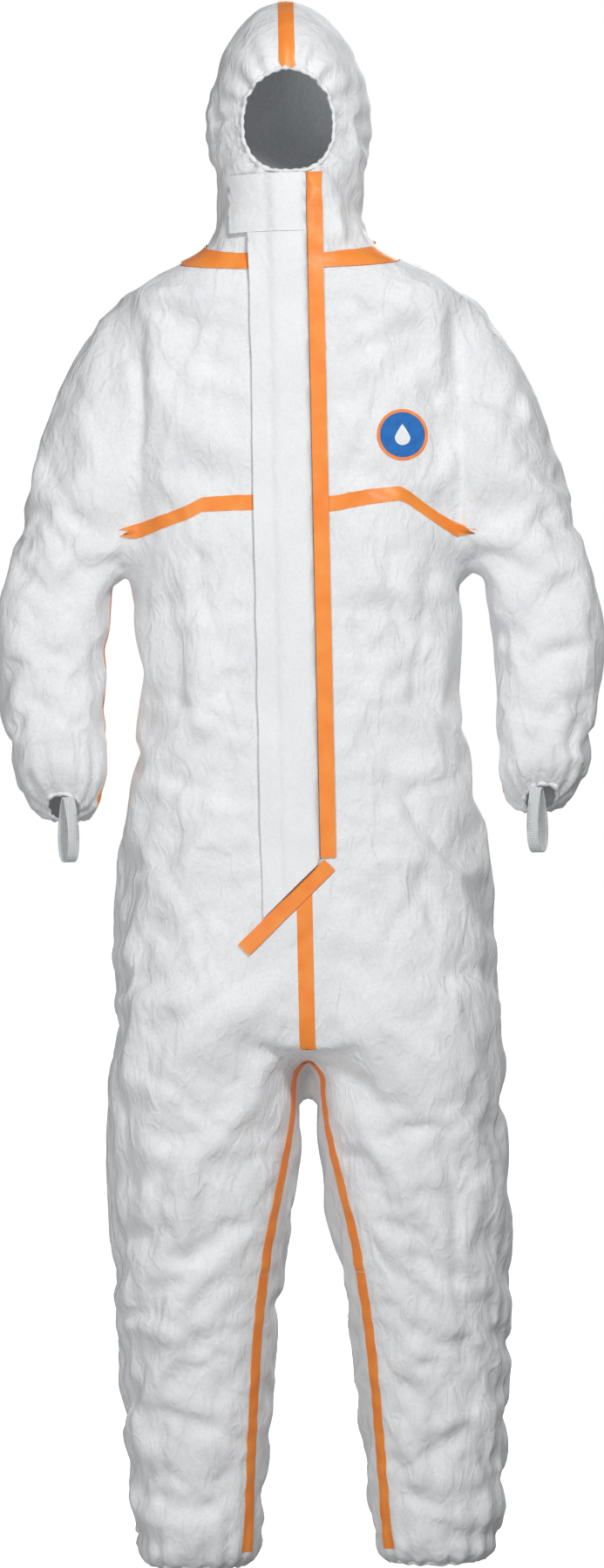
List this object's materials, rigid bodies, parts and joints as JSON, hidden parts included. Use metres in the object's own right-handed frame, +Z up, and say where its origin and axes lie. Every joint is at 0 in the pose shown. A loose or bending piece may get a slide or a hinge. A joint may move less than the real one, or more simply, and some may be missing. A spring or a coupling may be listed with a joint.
{
  "type": "chemical protective coverall",
  "caption": "Hooded white coverall with orange-taped seams, a zip under a storm flap, elasticated cuffs and ankles, and thumb loops; limbs, hood, flaps and zip move.",
  "frame": {"origin": "middle of the neck base, where the wearer's neck and shoulders carry the suit", "axes": "+Z up towards the hood, -Y out of the suit's front, +X towards the wearer's left"},
  "size_m": [0.668, 0.2578, 1.7377],
  "materials": {
    "fabric_white": "matt laminated nonwoven",
    "tape_orange": "satin heat-sealed over-tape",
    "elastic_white": "knitted elastic",
    "zip_tape": "woven tape",
    "zip_coil": "polyester coil",
    "zip_metal": "satin enamel",
    "adhesive": "release-lined adhesive strip",
    "badge_blue": "printed film"
  },
  "bodies": {
    "torso": {"collar_left": "fabric_white", "yoke_front_left": "fabric_white", "body_left": "fabric_white", "neck_tape_left": "tape_orange", "chest_tape_left": "tape_orange", "zip_tape_left": "zip_tape", "zip_coil_left": "zip_coil", "collar_right": "fabric_white", "yoke_front_right": "fabric_white", "body_right": "fabric_white", "neck_tape_right": "tape_orange", "chest_tape_right": "tape_orange", "zip_tape_right": "zip_tape", "zip_coil_right": "zip_coil", "yoke_back": "fabric_white", "back_yoke_tape": "tape_orange", "centre_back_tape": "tape_orange", "collar_back_tape": "tape_orange", "front_rise_tape": "tape_orange", "flap_seam_tape": "tape_orange", "flap_foot_tape": "tape_orange", "waist_elastic": "elastic_white", "zip_bottom_stop": "zip_metal", "chest_badge_rim": "tape_orange", "chest_badge_face": "badge_blue"},
    "hood": {"hood_left": "fabric_white", "hood_right": "fabric_white", "hood_centre_tape": "tape_orange", "face_elastic": "elastic_white"},
    "chin_flap": {"chin_flap": "fabric_white", "chin_flap_adhesive": "adhesive"},
    "storm_flap": {"storm_flap": "fabric_white", "storm_flap_adhesive": "adhesive"},
    "zip_slider": {"zip_slider": "zip_metal"},
    "zip_pull": {"zip_pull": "zip_metal"},
    "upper_arm_left": {"upper_sleeve_left": "fabric_white", "upper_sleeve_tape_left": "tape_orange"},
    "forearm_left": {"lower_sleeve_left": "fabric_white", "lower_sleeve_tape_left": "tape_orange", "wrist_elastic_left": "elastic_white"},
    "thumb_loop_left": {"thumb_loop_left": "elastic_white"},
    "thigh_left": {"thigh_left": "fabric_white", "thigh_tape_left": "tape_orange"},
    "shin_left": {"shin_left": "fabric_white", "shin_tape_left": "tape_orange", "ankle_elastic_left": "elastic_white"},
    "upper_arm_right": {"upper_sleeve_right": "fabric_white", "upper_sleeve_tape_right": "tape_orange"},
    "forearm_right": {"lower_sleeve_right": "fabric_white", "lower_sleeve_tape_right": "tape_orange", "wrist_elastic_right": "elastic_white"},
    "thumb_loop_right": {"thumb_loop_right": "elastic_white"},
    "thigh_right": {"thigh_right": "fabric_white", "thigh_tape_right": "tape_orange"},
    "shin_right": {"shin_right": "fabric_white", "shin_tape_right": "tape_orange", "ankle_elastic_right": "elastic_white"}
  },
  "joints": [
    {"name": "hood_fold", "type": "hinge", "parent": "torso", "child": "hood", "pos_m": [0, 0.075, 0.092], "axis": [-1, 0, 0], "range_deg": [0, 60]},
    {"name": "chin_flap_open", "type": "hinge", "parent": "torso", "child": "chin_flap", "pos_m": [0.0172, -0.1004, 0], "axis": [0, 0.0382, 0.9993], "range_deg": [0, 150]},
    {"name": "storm_flap_open", "type": "hinge", "parent": "torso", "child": "storm_flap", "pos_m": [0.0172, -0.1004, 0], "axis": [0, 0.0382, 0.9993], "range_deg": [0, 160]},
    {"name": "zip_slide", "type": "slide", "parent": "torso", "child": "zip_slider", "axis": [0, -0.0382, -0.9993], "range_m": [0, 0.725]},
    {"name": "zip_pull_swing", "type": "hinge", "parent": "zip_slider", "child": "zip_pull", "pos_m": [0, -0.09759, 0.0777], "axis": [0, 0.9993, -0.0382], "range_deg": [-15, 15]},
    {"name": "shoulder_raise_left", "type": "hinge", "parent": "torso", "child": "upper_arm_left", "pos_m": [0.1806, 0, -0.024], "axis": [0, -1, 0], "range_deg": [0, 45], "stiffness_Nm_per_rad": 0.3},
    {"name": "elbow_bend_left", "type": "hinge", "parent": "upper_arm_left", "child": "forearm_left", "pos_m": [0.272, -0.0712, -0.401], "axis": [-1, 0, 0], "range_deg": [0, 80], "stiffness_Nm_per_rad": 0.3},
    {"name": "thumb_loop_swing_left", "type": "hinge", "parent": "forearm_left", "child": "thumb_loop_left", "pos_m": [0.2585, -0.0662, -0.59], "axis": [-1, 0, 0], "range_deg": [0, 40]},
    {"name": "hip_swing_left", "type": "hinge", "parent": "torso", "child": "thigh_left", "pos_m": [0.107, -0.1286, -0.85], "axis": [-1, 0, 0], "range_deg": [0, 40], "stiffness_Nm_per_rad": 2},
    {"name": "knee_bend_left", "type": "hinge", "parent": "thigh_left", "child": "shin_left", "pos_m": [0.125, 0.104, -1.12], "axis": [1, 0, 0], "range_deg": [0, 60], "stiffness_Nm_per_rad": 1},
    {"name": "shoulder_raise_right", "type": "hinge", "parent": "torso", "child": "upper_arm_right", "pos_m": [-0.1806, 0, -0.024], "axis": [0, 1, 0], "range_deg": [0, 45], "stiffness_Nm_per_rad": 0.3},
    {"name": "elbow_bend_right", "type": "hinge", "parent": "upper_arm_right", "child": "forearm_right", "pos_m": [-0.272, -0.0712, -0.401], "axis": [-1, 0, 0], "range_deg": [0, 80], "stiffness_Nm_per_rad": 0.3},
    {"name": "thumb_loop_swing_right", "type": "hinge", "parent": "forearm_right", "child": "thumb_loop_right", "pos_m": [-0.2585, -0.0662, -0.59], "axis": [-1, 0, 0], "range_deg": [0, 40]},
    {"name": "hip_swing_right", "type": "hinge", "parent": "torso", "child": "thigh_right", "pos_m": [-0.107, -0.1286, -0.85], "axis": [-1, 0, 0], "range_deg": [0, 40], "stiffness_Nm_per_rad": 2},
    {"name": "knee_bend_right", "type": "hinge", "parent": "thigh_right", "child": "shin_right", "pos_m": [-0.125, 0.104, -1.12], "axis": [1, 0, 0], "range_deg": [0, 60], "stiffness_Nm_per_rad": 1}
  ]
}
